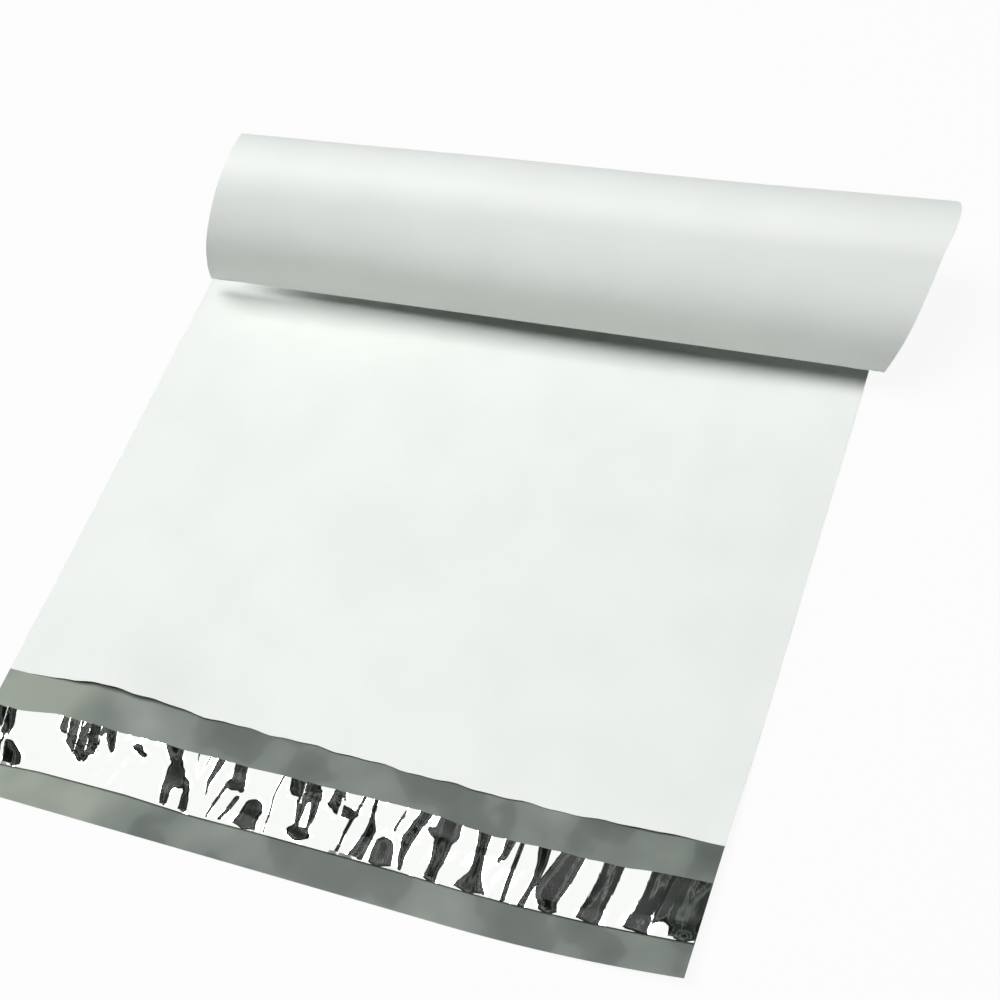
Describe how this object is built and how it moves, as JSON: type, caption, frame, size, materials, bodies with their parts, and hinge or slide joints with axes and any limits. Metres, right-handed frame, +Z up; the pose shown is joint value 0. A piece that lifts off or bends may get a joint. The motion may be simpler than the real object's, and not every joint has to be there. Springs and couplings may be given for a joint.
{
  "type": "poly mailer bag",
  "caption": "Flat shipping bag of white film, grey inside, with side seals, an open flap carrying a release liner, and its closed end rolled up and over.",
  "frame": {"origin": "middle of the stretch of the underside that lies flat, on the surface the bag rests on", "axes": "+X along the mouth, +Y from the mouth to the closed end, +Z up out of the front panel"},
  "size_m": [0.3342, 0.3135, 0.0714],
  "materials": {
    "bag_film": "satin",
    "adhesive": "tacky gloss",
    "liner": "gloss silver"
  },
  "bodies": {
    "root": {"bag_film": "bag_film", "adhesive_strip": "adhesive", "release_liner": "liner"}
  },
  "joints": []
}
